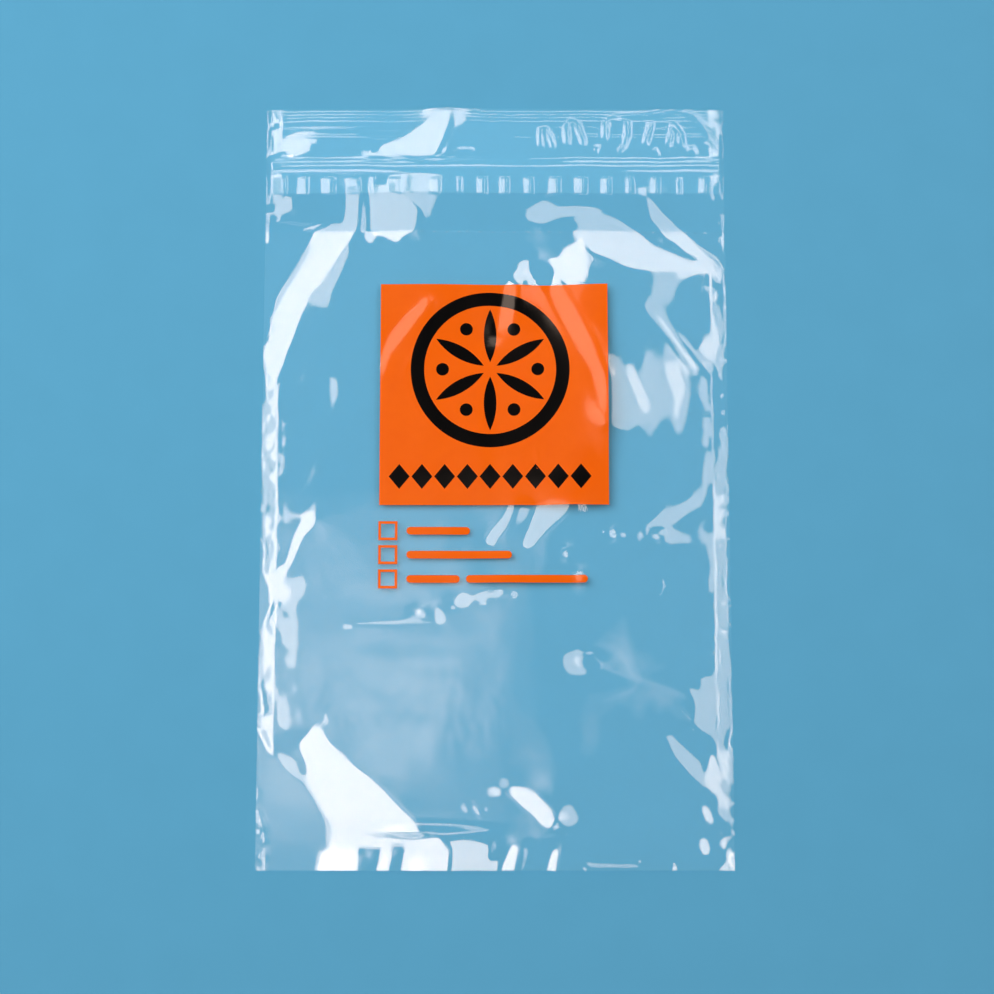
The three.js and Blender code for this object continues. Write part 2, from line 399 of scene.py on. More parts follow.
# Sharp creases of the uppermost film: path, height and width
CREASES = [
    ([(-74, 82.3), (-69, 82.2), (-55, 86)], 0.16, 0.55),
    ([(-74.5, 86.3), (-71, 87.3), (-60, 86.6)], 0.08, 0.5),
    ([(-14.5, -40), (-8, -39.7), (4, -37.9)], 0.14, 0.5),
    ([(-46, -47.3), (-34, -47), (-22, -46.4)], 0.05, 0.5),
    ([(5, -41.7), (12, -40.6)], 0.06, 0.4),
    ([(37.5, -17.3), (40.5, -18.3)], 0.18, 0.7),
    ([(48, -17.6), (55, -18.9)], 0.18, 0.6),
    ([(43, -20.3), (53, -22.6)], 0.12, 0.5),
    ([(21.5, -23.4), (24.5, -24.9)], 0.2, 0.6),
    ([(24.5, -31.2), (29.5, -31.9)], 0.15, 0.5),
    ([(53, -31), (54.2, -35), (52, -38.5), (48, -39.7)], 0.1, 0.5),
    ([(50, 57), (58, 47), (66, 35)], 0.12, 0.8),
    ([(57, 51), (66, 41), (74, 30)], 0.12, 0.8),
    ([(31.5, -107.8), (35, -111.5)], 0.12, 0.5),
    ([(54.5, -103), (59.5, -105.5)], 0.12, 0.5),
    ([(-32, 30), (-29, 38), (-24, 46), (-17, 56)], 0.07, 0.9),
    ([(-26, 34), (-22, 42), (-16, 50)], 0.05, 0.8),
    ([(13, 12), (14, 5), (12, -3)], 0.06, 0.6),
    ([(76, -116), (71.5, -123)], 0.1, 0.4),
]
LIP_CREASES = [
    ([(16, 110), (15, 114), (15.2, 117.4), (16.5, 118.3), (18, 116.5), (19.3, 113), (19.3, 109.5)],
     0.4, 0.95),
    ([(25.5, 110.5), (24, 114), (23.8, 118.5), (25.5, 120.8), (27.5, 119.5), (29.2, 115), (29.3, 110)],
     0.46, 1.05),
    ([(38.5, 112), (36.6, 115), (36.6, 119.5), (38.5, 121.7), (44, 121), (44, 117), (43.2, 113),
      (45, 110.3)], 0.46, 1.05),
    ([(43.2, 113), (41, 110.3)], 0.3, 0.8),
    ([(52, 122.5), (51.5, 118.5), (49.5, 112)], 0.46, 1.05),
    ([(57, 110.5), (58.2, 115), (59.5, 120), (61.5, 117), (62.3, 112.5), (62, 110)], 0.46, 1.05),
    ([(37, 122.6), (45, 123.3), (52, 123.3), (57, 124.8), (62, 125.2)], 0.3, 0.85),
    ([(62, 125.2), (66, 123.6), (70, 119), (73.5, 113), (75.5, 110)], 0.3, 0.85),
    ([(33, 109.5), (34.5, 113.5)], 0.25, 0.75),
    ([(53, 112), (54.3, 109.3)], 0.25, 0.75),
    ([(64, 110), (65.5, 111.8), (67, 109.6)], 0.3, 0.85),
    ([(-14, 111.2), (-6, 111.2)], 0.3, 0.85),
    ([(-73.5, 125.3), (-72, 123.3), (-70, 122)], 0.3, 0.8),
    ([(-8, 126), (-5.5, 125.2)], 0.3, 0.8),
]

# Bands over the zipper: where each starts and ends above the zipper's middle, and the share of its
# height at places across the bag. Each band falls away towards the mouth, to face the far panel.
ZIPPER_BANDS = [
    (-3.0, -1.8, [(-76, 1), (-40, 1), (-25, 0), (40, 0.4), (76, 0.8)]),
    (-0.9, -0.2, [(-76, 0.7), (-10, 1), (10, 0.5), (40, 1), (76, 0.9)]),
    (0.4, 1.2, [(-76, 1), (-30, 0.8), (-12, 0.2), (20, 0.3), (32, 1), (76, 0.7)]),
    (1.8, 2.4, [(-76, 1), (-20, 0.6), (10, 0.5), (76, 1)]),
]
LIP_RIBS = [(9.2, 9.55), (10.1, 10.4), (12.0, 12.4), (12.6, 12.85), (14.6, 15.0), (15.9, 16.2),
            (16.9, 17.2), (18.0, 18.3)]
RIB_SHARES = [(-76, 1), (-30, 1), (-5, 0.5), (10, 0.7), (76, 0.8)]
BAND_RISE = 0.4 # the length of the steep side of each band

# Waves of the zipper's free flange edge: where each one starts and ends
FLANGE_WAVES = [
    (-75, -69.8), (-65.6, -62.4), (-58, -53.9), (-50.2, -45.4), (-42, -40.2), (-35.6, -32.4),
    (-29.4, -27.6), (-22, -19), (-13, -11.5), (-6.4, -3.5), (1, 3.8), (9, 11.8), (17.5, 20.8),
    (26, 29.6), (34.8, 37.8), (42.8, 45.2), (51, 54), (60, 61.4), (67.2, 70.4),
]
WAVE_DROP_LENGTH = 0.9 # each wave falls back over this length
WAVE_END_Y = (101.2, 102.4) # the waves fade out between these places


def base_height():
    """The uppermost film without its wrinkles: low at the welds, lifted over the zipper and the body."""
    from_edge = HALF_WIDTH - np.abs(grid_x)
    side = 1 - step(TRACK_HALF_LENGTH, HALF_WIDTH - 0.3, np.abs(grid_x))
    zipper = step(FLANGE_END_Y - ZIPPER_RAMP, FLANGE_END_Y, grid_y)
    body = step(WELD_Y, WELD_Y + BODY_RAMP, grid_y) * (1 - zipper)
    rise = step(0, 1, from_edge / (EDGE_BAND * (1 + ripple(*BAND_RIPPLE))))
    return (
        WELD_Z
        + side * zipper * (OVER_ZIPPER_Z - WELD_Z)
        + rise * (body * (BODY_PUFF - SKIRT_PUFF) + (1 - zipper) * SKIRT_PUFF)
    )


def edge_crinkle():
    """Short wrinkles that run in from the side welds."""
    from_edge = HALF_WIDTH - np.abs(grid_x)
    fade = step(0, CRINKLE_START, from_edge) * np.exp(-from_edge / CRINKLE_REACH)
    return fade * ripples(EDGE_RIPPLES)


def weld_lines():
    """The fine ridges that the heated bar leaves along the bottom weld."""
    lines = 0
    for place, tall in WELD_RIDGES:
        lines = lines + tall * np.exp(-(((grid_y - WELD_Y - place) / WELD_RIDGE_WIDTH) ** 2))
    return lines


def top_height():
    height = with_facets(base_height(), BODY_FACETS + OUTER_FACETS, BOTTOM_Y, BODY_FACETS_END_Y)
    height = with_facets(height, LIP_FACETS, LIP_FACETS_START_Y, MOUTH_Y)
    for path, tall, wide in CREASES:
        height += ridge(path, tall, wide, grid_x, grid_y)
    height += edge_crinkle()
    body_only = (1 - at_weld) * (1 - step(FLANGE_END_Y - 4, FLANGE_END_Y + 4, grid_y))
    height += body_only * ripples(BODY_RIPPLES)
    low_body = step(WELD_Y + 4, WELD_Y + 20, grid_y) * (1 - step(-35, -15, grid_y))
    height += low_body * ripples(LOW_RIPPLES)
    height += weld_lines()
    return np.maximum(height, WELD_Z)


def below(height, ceiling, soft=0.25):
    """The height, kept smoothly under a ceiling."""
    mean = (height + ceiling) / 2
    return mean - np.sqrt(((height - ceiling) / 2) ** 2 + (soft / 2) ** 2)


TOP = top_height()
near_mouth = step(POCKET_MOUTH_Y - 8, POCKET_MOUTH_Y - 1, grid_y)
inner_share = INNER_SHARE + (SKIRT_INNER_SHARE - INNER_SHARE) * joined
inner_base = with_facets(
    inner_share * base_height(), BODY_FACETS + INNER_FACETS, BOTTOM_Y, BODY_FACETS_END_Y
)
speckled = inside(SPECKLE, grid_x, grid_y, SPECKLE_FADE)
inner_base += (1 - joined) * (ripple(*INNER_RIPPLE) + speckled * ripple(*SPECKLE_RIPPLE))
INNER = np.maximum(below(inner_base, TOP - LEAST_GAP), LEAST_INNER_Z)
INNER += (TOP - LEAST_GAP - INNER) * near_mouth
over_pocket = step(POCKET_MOUTH_Y - 1, POCKET_MOUTH_Y + 4, grid_y)
FRONT = INNER + (TOP - INNER) * over_pocket
under_tracks = step(FLANGE_END_Y - 4, FLANGE_END_Y, grid_y)
BACK = BACK_Z + joined * SKIRT_BACK_SHARE * (TOP - WELD_Z)
BACK += (1 - joined) * (1 - under_tracks) * np.abs(ripple(*BACK_RIPPLE))
BACK = np.minimum(BACK, FRONT - LEAST_GAP / 2)


def height_at(field, x, y):
    """The height of a film at any place, from its grid."""
    column = np.clip((x + HALF_WIDTH) / DX, 0, COLUMNS - 1e-6)
    row = np.clip((y - BOTTOM_Y) / DY, 0, ROWS - 1e-6)
    i, j = column.astype(int), row.astype(int)
    a, b = column - i, row - j
    low = field[j, i] * (1 - a) + field[j, i + 1] * a
    high = field[j + 1, i] * (1 - a) + field[j + 1, i + 1] * a
    return low * (1 - b) + high * b


# The front film has finer rows from the pocket's mouth up, for the zipper and the lip
FINE_ROW = 0.21
coarse_y = y_line[y_line < POCKET_MOUTH_Y][::2]
fine_count = int(math.ceil((MOUTH_Y - POCKET_MOUTH_Y) / FINE_ROW)) + 1
front_x, front_y = np.meshgrid(
    x_line, np.concatenate([coarse_y, np.linspace(POCKET_MOUTH_Y, MOUTH_Y, fine_count)])
)


def band(from_zipper, x, start, end, shares):
    """A long band that rises steeply and then falls away gently between two lines."""
    tall = -(AIM_DRIFT * ZIPPER_Y + AIMS["far"][1]) * (end - start)
    profile = np.interp(from_zipper, [start - BAND_RISE, start, end], [0, tall, 0])
    return profile * np.interp(x, *np.array(shares, float).T)


def zipper_profile(x, y):
    """The zipper's bands, and the fine ribs of its flange, pressed through the film."""
    ends = 1 - step(TRACK_HALF_LENGTH - 0.4, TRACK_HALF_LENGTH, np.abs(x))
    from_zipper = y - ZIPPER_Y + 0.1 * np.sin(x / 6.3) + 0.06 * np.sin(x / 2.9 + 1)
    height = 0
    for start, end, shares in ZIPPER_BANDS:
        height = height + band(from_zipper, x, start, end, shares)
    for start, end in LIP_RIBS:
        height = height + band(from_zipper, x, start, end, RIB_SHARES)
    return ends * height


def flange_wave(x):
    """The wavy free edge of the flange: each wave rises to face the left panel, then drops sharply."""
    knots, heights = [-HALF_WIDTH], [0.0]
    for start, end in FLANGE_WAVES:
        tilt = AIM_DRIFT * (start + end) / 2 + AIMS["left"][1]
        knots += [start, end, end + WAVE_DROP_LENGTH]
        heights += [0.0, tilt * (end - start), 0.0]
    return np.interp(x, knots + [HALF_WIDTH], heights + [0.0])


def front_height():
    height = height_at(FRONT, front_x, front_y) + zipper_profile(front_x, front_y)
    flange = step(FLANGE_END_Y - 0.6, FLANGE_END_Y, front_y) * (1 - step(*WAVE_END_Y, front_y))
    height += flange * flange_wave(x_line)[None, :]
    for path, tall, wide in LIP_CREASES:
        height += ridge(path, tall, wide, front_x, front_y)
    return height


FRONT_FINE = front_height()


def mesh_piece(name, x, y, z, material):
    """A smooth sheet over a grid of places, riding on the bag."""
    rows, columns = z.shape
    points = np.stack([x, y, z], axis=-1).reshape(-1, 3) * MM
    corner = np.arange(rows * columns).reshape(rows, columns)
    quads = np.stack(
        [corner[:-1, :-1], corner[:-1, 1:], corner[1:, 1:], corner[1:, :-1]], axis=-1
    ).reshape(-1, 4)
    mesh = bpy.data.meshes.new(name)
    mesh.from_pydata(points.tolist(), [], quads.tolist())
    mesh.shade_smooth()
    mesh.materials.append(material)
    piece = bpy.data.objects.new(name, mesh)
    bpy.context.scene.collection.objects.link(piece)
    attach(piece, "root")
    return piece


def new_material(name):
    material = bpy.data.materials.new(name)
    material.use_nodes = True
    tree = material.node_tree
    tree.nodes.clear()
    return material, tree


def place_noise(tree, scale, stretch, detail):
    """Noise fixed to the bag, stretched along its axes."""
    place = tree.nodes.new("ShaderNodeTexCoord")
    shape = tree.nodes.new("ShaderNodeMapping")
    shape.inputs["Scale"].default_value = stretch
    noise = tree.nodes.new("ShaderNodeTexNoise")
    noise.inputs["Scale"].default_value = scale
    noise.inputs["Detail"].default_value = detail
    tree.links.new(place.outputs["Object"], shape.inputs["Vector"])
    tree.links.new(shape.outputs["Vector"], noise.inputs["Vector"])
    return noise.outputs["Fac"]


def bump(tree, height, distance):
    node = tree.nodes.new("ShaderNodeBump")
    node.inputs["Distance"].default_value = distance
    node.inputs["Strength"].default_value = 1.0
    tree.links.new(height, node.inputs["Height"])
    return node.outputs["Normal"]


MILK_COLOUR = (0.42, 0.88, 1.0)
GRAIN_SCALE = 900
GRAIN_STRETCH = (1, 0.5, 1)
GRAIN_DETAIL = 3
INK_GRAIN = 0.00001
INK_IOR = 1.22


def clear_material(name, gloss_share, edge_share, roughness, haze, grain):
    """Clear plastic film: it shows what is behind it, mirrors the lights and is a little milky.

    gloss_share is how much it mirrors when seen straight on, and edge_share is added when seen edge on.
    """
    material, tree = new_material(name)
    normal = bump(tree, place_noise(tree, GRAIN_SCALE, GRAIN_STRETCH, GRAIN_DETAIL), grain)
    edge_on = tree.nodes.new("ShaderNodeLayerWeight")
    steep = tree.nodes.new("ShaderNodeMath")
    steep.operation = "POWER"
    steep.inputs[1].default_value = 5
    share = tree.nodes.new("ShaderNodeMath")
    share.operation = "MULTIPLY_ADD"
    share.inputs[1].default_value = edge_share
    share.inputs[2].default_value = gloss_share
    gloss = tree.nodes.new("ShaderNodeBsdfGlossy")
    gloss.inputs["Roughness"].default_value = roughness
    clear = tree.nodes.new("ShaderNodeBsdfTransparent")
    milk = tree.nodes.new("ShaderNodeBsdfDiffuse")
    milk.inputs["Color"].default_value = (*(haze * c for c in MILK_COLOUR), 1)
    under = tree.nodes.new("ShaderNodeAddShader")
    over = tree.nodes.new("ShaderNodeMixShader")
    end = tree.nodes.new("ShaderNodeOutputMaterial")
    link = tree.links.new
    link(normal, gloss.inputs["Normal"])
    link(normal, edge_on.inputs["Normal"])
    link(edge_on.outputs["Facing"], steep.inputs[0])
    link(steep.outputs[0], share.inputs[0])
    link(clear.outputs[0], under.inputs[0])
    link(milk.outputs[0], under.inputs[1])
    link(share.outputs[0], over.inputs["Fac"])
    link(under.outputs[0], over.inputs[1])
    link(gloss.outputs[0], over.inputs[2])
    link(over.outputs[0], end.inputs["Surface"])
    return material


def ink_material(name, colour, dark, roughness):
    """Printed ink under the gloss of the film, a little uneven in depth."""
    material, tree = new_material(name)
    mix = tree.nodes.new("ShaderNodeMix")
    mix.data_type = "RGBA"
    mix.inputs["A"].default_value = (*dark, 1)
    mix.inputs["B"].default_value = (*colour, 1)
    shader = tree.nodes.new("ShaderNodeBsdfPrincipled")
    shader.inputs["Roughness"].default_value = roughness
    shader.inputs["IOR"].default_value = INK_IOR
    end = tree.nodes.new("ShaderNodeOutputMaterial")
    link = tree.links.new
    link(place_noise(tree, 160, (1, 1, 1), 4), mix.inputs["Factor"])
    link(mix.outputs["Result"], shader.inputs["Base Color"])
    grain = place_noise(tree, GRAIN_SCALE, GRAIN_STRETCH, GRAIN_DETAIL)
    link(bump(tree, grain, INK_GRAIN), shader.inputs["Normal"])
    link(shader.outputs[0], end.inputs["Surface"])
    return material


film = clear_material("clear_film", gloss_share=0.03, edge_share=0.5, roughness=0.05,
                      haze=0.028, grain=0.0000005)
track_plastic = clear_material("clear_track", gloss_share=0.008, edge_share=0.06, roughness=0.08,
                               haze=0.02, grain=0.0000005)
orange_ink = ink_material("orange_ink", (0.95, 0.14, 0.002), (0.9, 0.12, 0.0015), 0.14)
black_ink = ink_material("black_ink", (0.001, 0.001, 0.0012), (0.002, 0.0018, 0.002), 0.14)

# The three walls of film
pocket_rows = int(round((POCKET_MOUTH_Y - BOTTOM_Y) / DY)) + 1
pocket_y = grid_y[:pocket_rows].copy()
pocket_y[-1] = POCKET_MOUTH_Y
pocket_wall = mesh_piece("outer_pocket_film", grid_x[:pocket_rows], pocket_y, TOP[:pocket_rows],
                         film)
front_wall = mesh_piece("front_film", front_x, front_y, FRONT_FINE, film)
back_wall = mesh_piece("back_film", grid_x[::2, ::2], grid_y[::2, ::2], BACK[::2, ::2], film)
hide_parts("document_pocket_wall")
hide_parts("front_wall")
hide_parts("back_wall")

# The zipper tracks: a section of (Y from the zipper, Z) swept across the bag
FLANGE_THICK = 0.12
FLANGE_LENGTH = ZIPPER_Y - FLANGE_END_Y # from the zipper's middle to its free edge
TRACK_STATIONS = 420
STIFF_MIDDLE = (1.5, 3.0) # the jaws stay straight, and past this the flange bends
FLANGE_STEP = 0.63 # between the points where the upper flange follows the film
RIB_PITCH = 1.6
RIB_WIDTH = 0.36
RIB_HEIGHT = 0.12
RIB_COUNT = 7
FIRST_RIB = 7.2
CHANNEL_WIDTH = 1.3
JAW = 0.4
HOOK_REACH = 0.28
HOOK = 0.34
STEM = 0.36
CLEARANCE = 0.12


def rib_points(face, up):
    points = []
    for i in range(RIB_COUNT):
        y = FIRST_RIB + i * RIB_PITCH
        points += [(y - RIB_WIDTH / 2, face), (y - RIB_WIDTH / 4, face + up * RIB_HEIGHT)]
        points += [(y + RIB_WIDTH / 4, face + up * RIB_HEIGHT), (y + RIB_WIDTH / 2, face)]
    return points


def female_section():
    base = female_low[2]
    face = base + FLANGE_THICK
    tip = female_high[2]
    inner = CHANNEL_WIDTH / 2
    outer = inner + JAW
    right = [(outer, face), (outer, tip - HOOK / 2), (inner, tip), (inner - HOOK_REACH, tip - HOOK),
             (inner, tip - HOOK), (inner, face)]
    left = [(-y, z) for y, z in right[::-1]]
    flange = [(-FLANGE_LENGTH, face), (-FLANGE_LENGTH, base), (LIP_LENGTH, base), (LIP_LENGTH, face)]
    return flange + rib_points(face, 1)[::-1] + right + left


def male_section():
    top = male_high[2]
    face = top - FLANGE_THICK
    head_top = female_high[2] - HOOK - CLEARANCE
    head_tip = female_low[2] + FLANGE_THICK + CLEARANCE
    half = CHANNEL_WIDTH / 2 - CLEARANCE
    lower_run = np.arange(FLANGE_STEP - FLANGE_LENGTH, -STEM, FLANGE_STEP)
    upper_run = np.arange(1.5 * FLANGE_STEP, FIRST_RIB - RIB_WIDTH, FLANGE_STEP)
    top_run = np.arange(LIP_LENGTH - FLANGE_STEP, -FLANGE_LENGTH + 0.2, -FLANGE_STEP)
    left = [(-STEM / 2, face), (-STEM / 2, head_top), (-half, head_top), (-STEM / 2, head_tip)]
    right = [(-y, z) for y, z in left[::-1]]
    start = [(-FLANGE_LENGTH, top), (-FLANGE_LENGTH, face)] + [(y, face) for y in lower_run]
    middle = left + right + [(y, face) for y in upper_run] + rib_points(face, -1)
    return start + middle + [(LIP_LENGTH, face), (LIP_LENGTH, top)] + [(y, top) for y in top_run]


def track_piece(name, section, follow, drop):
    """A zipper track. Its flange takes on a share, follow, of the front film's relief.

    drop lowers the whole track.
    """
    stations = np.linspace(-TRACK_HALF_LENGTH, TRACK_HALF_LENGTH, TRACK_STATIONS)
    section = np.array(section)
    y = np.broadcast_to(ZIPPER_Y + section[:, 0], (len(stations), len(section)))
    x = np.broadcast_to(stations[:, None], y.shape)
    flange = follow * step(*STIFF_MIDDLE, np.abs(section[:, 0]))
    film_relief = height_at(FRONT, x, y) - OVER_ZIPPER_Z
    z = section[:, 1][None, :] + flange[None, :] * film_relief - drop
    points = np.stack([x, y, z], axis=-1).reshape(-1, 3) * MM
    mesh = bpy.data.meshes.new(name)
    count = len(section)
    faces = []
    for i in range(len(stations) - 1):
        for j in range(count):
            k = (j + 1) % count
            faces.append((i * count + j, i * count + k, (i + 1) * count + k, (i + 1) * count + j))
    faces.append(tuple(range(count))[::-1])
    faces.append(tuple((len(stations) - 1) * count + j for j in range(count)))
    mesh.from_pydata(points.tolist(), [], faces)
    shell = bmesh.new()
    shell.from_mesh(mesh)
    bmesh.ops.recalc_face_normals(shell, faces=shell.faces)
    shell.to_mesh(mesh)
    shell.free()
    mesh.materials.append(track_plastic)
    piece = bpy.data.objects.new(name, mesh)
    bpy.context.scene.collection.objects.link(piece)
    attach(piece, "root")
    return piece


male = track_piece("male_track", male_section(), follow=1.0, drop=0.03)
female = track_piece("female_track", female_section(), follow=0.0, drop=-0.02)
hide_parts("zipper_track_male")
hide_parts("zipper_track_female")

# The print on the outer film
INK_LIFT = 0.035
PANEL = (-37.6, 37.0, -8.4, 65.3)
MARK_X = -1.6
ROSE_Y = 36.6
ROSE_RADIUS = 26.0
RING_WIDTH = 4.4
PETALS = 6
PETAL_ROOT = 2.4
PETAL_REACH = 20.4
PETAL_BOW = 1.15
DOT_REACH = 15.6
DOT_RADIUS = 2.1
BAND_Y = 1.0
BAND_HEIGHT = 8.2
BAND_WIDTH = 66.5
BAND_COUNT = 9
LOZENGE_SHARE = 0.46 # half of a lozenge's width, as a share of the pitch
BOX_LEFT = -37.8
BOX_SIZE = 6.2
BOX_STROKE = 0.85
BOX_TOPS = (-13.7, -21.5, -29.4)
BAR_LEFT = -28.7
BAR_ENDS = ((-8.1,), (5.5,), (-11.4, 30.0))
BAR_GAP = 2.0
BAR_HEIGHT = 2.5
CUT_STEP = 1.25


def ink_panel(name, edges, material):
    left, right, low, high = edges
    x = np.concatenate([[left], x_line[(x_line > left) & (x_line < right)], [right]])
    y = np.concatenate([[low], y_line[(y_line > low) & (y_line < high)], [high]])
    x, y = np.meshgrid(x, y)
    return mesh_piece(name, x, y, height_at(TOP, x, y) + INK_LIFT, material)


def ink_shape(name, outlines, lift, material):
    """A printed figure: closed outlines, filled, cut fine enough to lie on the film."""
    curve = bpy.data.curves.new(name, "CURVE")
    curve.dimensions = "2D"
    curve.fill_mode = "BOTH"
    for outline in outlines:
        spline = curve.splines.new("POLY")
        spline.points.add(len(outline) - 1)
        spline.use_cyclic_u = True
        for point, (x, y) in zip(spline.points, outline):
            point.co = (x, y, 0, 1)
    helper = bpy.data.objects.new(name + "_outline", curve)
    mesh = bpy.data.meshes.new_from_object(helper)
    mesh.name = name
    bpy.data.objects.remove(helper)
    bpy.data.curves.remove(curve)
    flat = bmesh.new()
    flat.from_mesh(mesh)
    points = np.array([v.co for v in flat.verts])
    for axis in (0, 1):
        direction = (1, 0, 0) if axis == 0 else (0, 1, 0)
        for at in np.arange(points[:, axis].min() + CUT_STEP, points[:, axis].max(), CUT_STEP):
            place = tuple(at * component for component in direction)
            bmesh.ops.bisect_plane(
                flat, geom=flat.verts[:] + flat.edges[:] + flat.faces[:], plane_co=place,
                plane_no=direction, dist=1e-4,
            )
    bmesh.ops.remove_doubles(flat, verts=flat.verts, dist=1e-4)
    bmesh.ops.recalc_face_normals(flat, faces=flat.faces)
    for vertex in flat.verts:
        x, y = vertex.co.x, vertex.co.y
        z = float(height_at(TOP, np.array([x]), np.array([y]))[0]) + lift
        vertex.co = (x * MM, y * MM, z * MM)
    flat.normal_update()
    if sum(face.normal.z for face in flat.faces) < 0:
        bmesh.ops.reverse_faces(flat, faces=flat.faces)
    flat.to_mesh(mesh)
    flat.free()
    mesh.shade_smooth()
    mesh.materials.clear()
    mesh.materials.append(material)
    piece = bpy.data.objects.new(name, mesh)
    bpy.context.scene.collection.objects.link(piece)
    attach(piece, "root")
    return piece


def arc(centre, radius, start, end, count):
    angles = np.radians(np.linspace(start, end, count))
    return [(centre[0] + radius * math.cos(a), centre[1] + radius * math.sin(a)) for a in angles]


def ring(centre, radius, count):
    """A closed circle of count points, without the first one repeated."""
    return arc(centre, radius, 0, 360 - 360 / count, count)


def spoke_end(centre, radius, angle):
    """The point this far from a centre, at an angle in degrees."""
    return arc(centre, radius, angle, angle, 1)[0]


def rose_outlines():
    """A six-petalled rose in a ring."""
    centre = (MARK_X, ROSE_Y)
    outlines = [ring(centre, ROSE_RADIUS, 144), ring(centre, ROSE_RADIUS - RING_WIDTH, 144)]
    for k in range(PETALS):
        turn = (k + 0.5) * 360 / PETALS
        outlines.append(petal_outline(centre, turn))
        outlines.append(ring(spoke_end(centre, DOT_REACH, turn + 180 / PETALS), DOT_RADIUS, 24))
    return outlines


def petal_outline(centre, turn):
    """A pointed petal between two arcs."""
    root = spoke_end(centre, PETAL_ROOT, turn)
    tip = spoke_end(centre, PETAL_REACH, turn)
    length = PETAL_REACH - PETAL_ROOT
    bow = length * PETAL_BOW
    middle = ((tip[0] + root[0]) / 2, (tip[1] + root[1]) / 2)
    away = math.sqrt(bow**2 - (length / 2) ** 2)
    half = math.degrees(math.asin(length / 2 / bow))
    petal = []
    for side in (-1, 1):
        hub = spoke_end(middle, away, turn + 90 * side)
        facing = turn - 90 * side
        petal += arc(hub, bow, facing - half, facing + half, 18)[:-1]
    return petal


def lozenge_outlines():
    pitch = BAND_WIDTH / BAND_COUNT
    outlines = []
    for i in range(BAND_COUNT):
        x = MARK_X - BAND_WIDTH / 2 + pitch * (i + 0.5)
        wide = pitch * LOZENGE_SHARE
        tall = BAND_HEIGHT / 2
        outlines.append([(x - wide, BAND_Y), (x, BAND_Y - tall), (x + wide, BAND_Y), (x, BAND_Y + tall)])
    return outlines


def box_outlines(top):
    outlines = []
    for inset in (0, BOX_STROKE):
        left, right = BOX_LEFT + inset, BOX_LEFT + BOX_SIZE - inset
        low, high = top - BOX_SIZE + inset, top - inset
        outlines.append([(left, low), (right, low), (right, high), (left, high)])
    return outlines


def bar_outlines(top, ends):
    y = top - BOX_SIZE / 2
    r = BAR_HEIGHT / 2
    outlines = []
    left = BAR_LEFT
    for end in ends:
        outlines.append(arc((end - r, y), r, -90, 90, 9) + arc((left + r, y), r, 90, 270, 9))
        left = end + BAR_GAP
    return outlines


ink_panel("orange_panel", PANEL, orange_ink)
ink_shape("black_rose", rose_outlines(), INK_LIFT * 2, black_ink)
ink_shape("black_lozenges", lozenge_outlines(), INK_LIFT * 2, black_ink)
for number, (top, ends) in enumerate(zip(BOX_TOPS, BAR_ENDS), 1):
    ink_shape(f"tick_box_{number}", box_outlines(top), INK_LIFT, orange_ink)
    ink_shape(f"line_bar_{number}", bar_outlines(top, ends), INK_LIFT, orange_ink)

# The pocket's mouth is cut with a toothed knife, which leaves small raised ticks along its edge
TICK_SIZE = (0.75, 0.28, 0.2)
TICK_FIRST = -24.0
TICK_LAST = 70.0
TICK_PITCH = (2.8, 4.6)
TICK_INSET = 0.3


def mouth_ticks():
    spots = np.random.default_rng(21)
    beads = bmesh.new()
    x = TICK_FIRST
    while x < TICK_LAST:
        z = float(height_at(TOP, np.array([x]), np.array([POCKET_MOUTH_Y]))[0])
        place = Matrix.Translation((x * MM, (POCKET_MOUTH_Y - TICK_INSET) * MM, z * MM))
        shape = Matrix.Diagonal((*(half * MM for half in TICK_SIZE), 1))
        matrix = place @ shape
        bmesh.ops.create_uvsphere(beads, u_segments=10, v_segments=6, radius=1, matrix=matrix)
        x += spots.uniform(*TICK_PITCH)
    mesh = bpy.data.meshes.new("mouth_ticks")
    beads.to_mesh(mesh)
    beads.free()
    mesh.shade_smooth()
    mesh.materials.append(film)
    piece = bpy.data.objects.new("mouth_ticks", mesh)
    bpy.context.scene.collection.objects.link(piece)
    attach(piece, "root")


mouth_ticks()

# Floor, lights and camera
FLOOR_COLOUR = (0.113, 0.398, 0.62)
FLOOR_SIZE = 3.0
FLOOR_MOTTLE = 0.03


def floor_piece():
    mesh = bpy.data.meshes.new("floor")
    half = FLOOR_SIZE / 2
    mesh.from_pydata([(-half, -half, 0), (half, -half, 0), (half, half, 0), (-half, half, 0)], [],
                     [(0, 1, 2, 3)])
    material, tree = new_material("floor_paper")
    mix = tree.nodes.new("ShaderNodeMix")
    mix.data_type = "RGBA"
    mix.inputs["A"].default_value = (*((1 - FLOOR_MOTTLE) * c for c in FLOOR_COLOUR), 1)
    mix.inputs["B"].default_value = (*((1 + FLOOR_MOTTLE) * c for c in FLOOR_COLOUR), 1)
    shader = tree.nodes.new("ShaderNodeBsdfDiffuse")
    end = tree.nodes.new("ShaderNodeOutputMaterial")
    tree.links.new(place_noise(tree, 60, (1, 1, 1), 5), mix.inputs["Factor"])
    tree.links.new(mix.outputs["Result"], shader.inputs["Color"])
    tree.links.new(shader.outputs[0], end.inputs["Surface"])
    mesh.materials.append(material)
    floor = bpy.data.objects.new("floor", mesh)
    bpy.context.scene.collection.objects.link(floor)


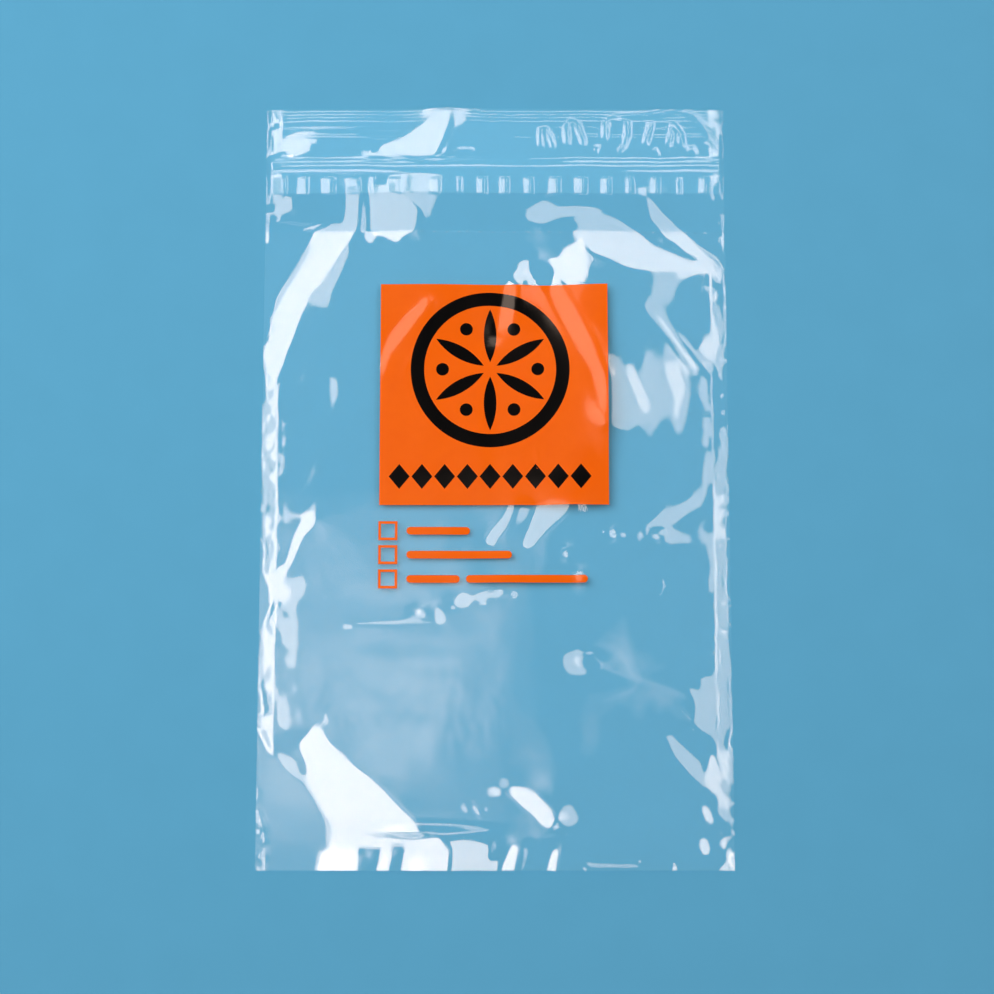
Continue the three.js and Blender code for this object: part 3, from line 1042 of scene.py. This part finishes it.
def soft_light(name, place, size, radiance, colour, mirrored):
    """A rectangular lamp that faces the bag's middle line, with one side parallel to the bag's edge.

    Sizes are in metres, and radiance is in watts a square metre a steradian.
    A mirrored lamp is a reflector card: the plastic shows it, and it doesn't light the floor.
    """
    across = abs(place[0]) > abs(place[1])
    aim = Vector((0, place[1], 0) if across else (place[0], 0, 0))
    lamp = bpy.data.lights.new(name, "AREA")
    lamp.shape = "RECTANGLE"
    lamp.size, lamp.size_y = size
    lamp.energy = radiance * math.pi * size[0] * size[1]
    lamp.color = colour
    holder = bpy.data.objects.new(name, lamp)
    holder.location = place
    holder.rotation_euler = (aim - Vector(place)).to_track_quat("-Z", "Y").to_euler()
    holder.visible_glossy = mirrored
    holder.visible_diffuse = not mirrored
    bpy.context.scene.collection.objects.link(holder)


floor_piece()
NEUTRAL = (1.0, 0.97, 0.95)
WARM = (1.0, 0.76, 0.62)
soft_light("left_lamp", (-0.5, 0.3, 1.0), (1.1, 1.1), 3.2, NEUTRAL, False)
soft_light("right_lamp", (0.6, 0.2, 1.0), (1.0, 1.0), 1.45, NEUTRAL, False)
soft_light("left_panel", (-0.42, 0.15, 1.0), (1.15, 0.32), 15.0, WARM, True)
soft_light("far_panel", (0.15, 0.72, 1.0), (0.9, 0.28), 11.5, WARM, True)
soft_light("right_panel", (0.46, 0.1, 1.0), (1.0, 0.28), 11.0, WARM, True)
soft_light("near_panel", (0.0, -0.6, 1.0), (0.8, 0.24), 9.0, WARM, True)
soft_light("pale_rim", (-0.12, 0.0, 1.0), (0.3, 0.3), 0.8, WARM, True)
soft_light("pale_panel", (-0.11, -0.01, 0.99), (0.2, 0.22), 1.1, WARM, True)
soft_light("pale_centre", (-0.1, -0.02, 0.98), (0.12, 0.14), 1.3, WARM, True)
ROOM_LIGHT = 0.12
world = bpy.data.worlds.new("room")
world.use_nodes = True
world.node_tree.nodes["Background"].inputs["Color"].default_value = (1, 1, 1, 1)
world.node_tree.nodes["Background"].inputs["Strength"].default_value = ROOM_LIGHT
bpy.context.scene.world = world

CAMERA_AIM = (0.00065, -0.0054, 0.0)
CAMERA_DISTANCE = 0.745
CAMERA_TILT = math.radians(9)
FOCAL_LENGTH = 82.83
SENSOR_WIDTH = 36
camera = bpy.data.objects.new("camera", bpy.data.cameras.new("camera"))
camera.data.lens = FOCAL_LENGTH
camera.data.sensor_width = SENSOR_WIDTH
camera.location = (
    CAMERA_AIM[0],
    CAMERA_AIM[1] - CAMERA_DISTANCE * math.sin(CAMERA_TILT),
    CAMERA_AIM[2] + CAMERA_DISTANCE * math.cos(CAMERA_TILT),
)
camera.rotation_euler = (CAMERA_TILT, 0, 0)
bpy.context.scene.collection.objects.link(camera)
scene = bpy.context.scene
scene.camera = camera
scene.view_settings.view_transform = "Standard"
scene.cycles.transparent_max_bounces = 32
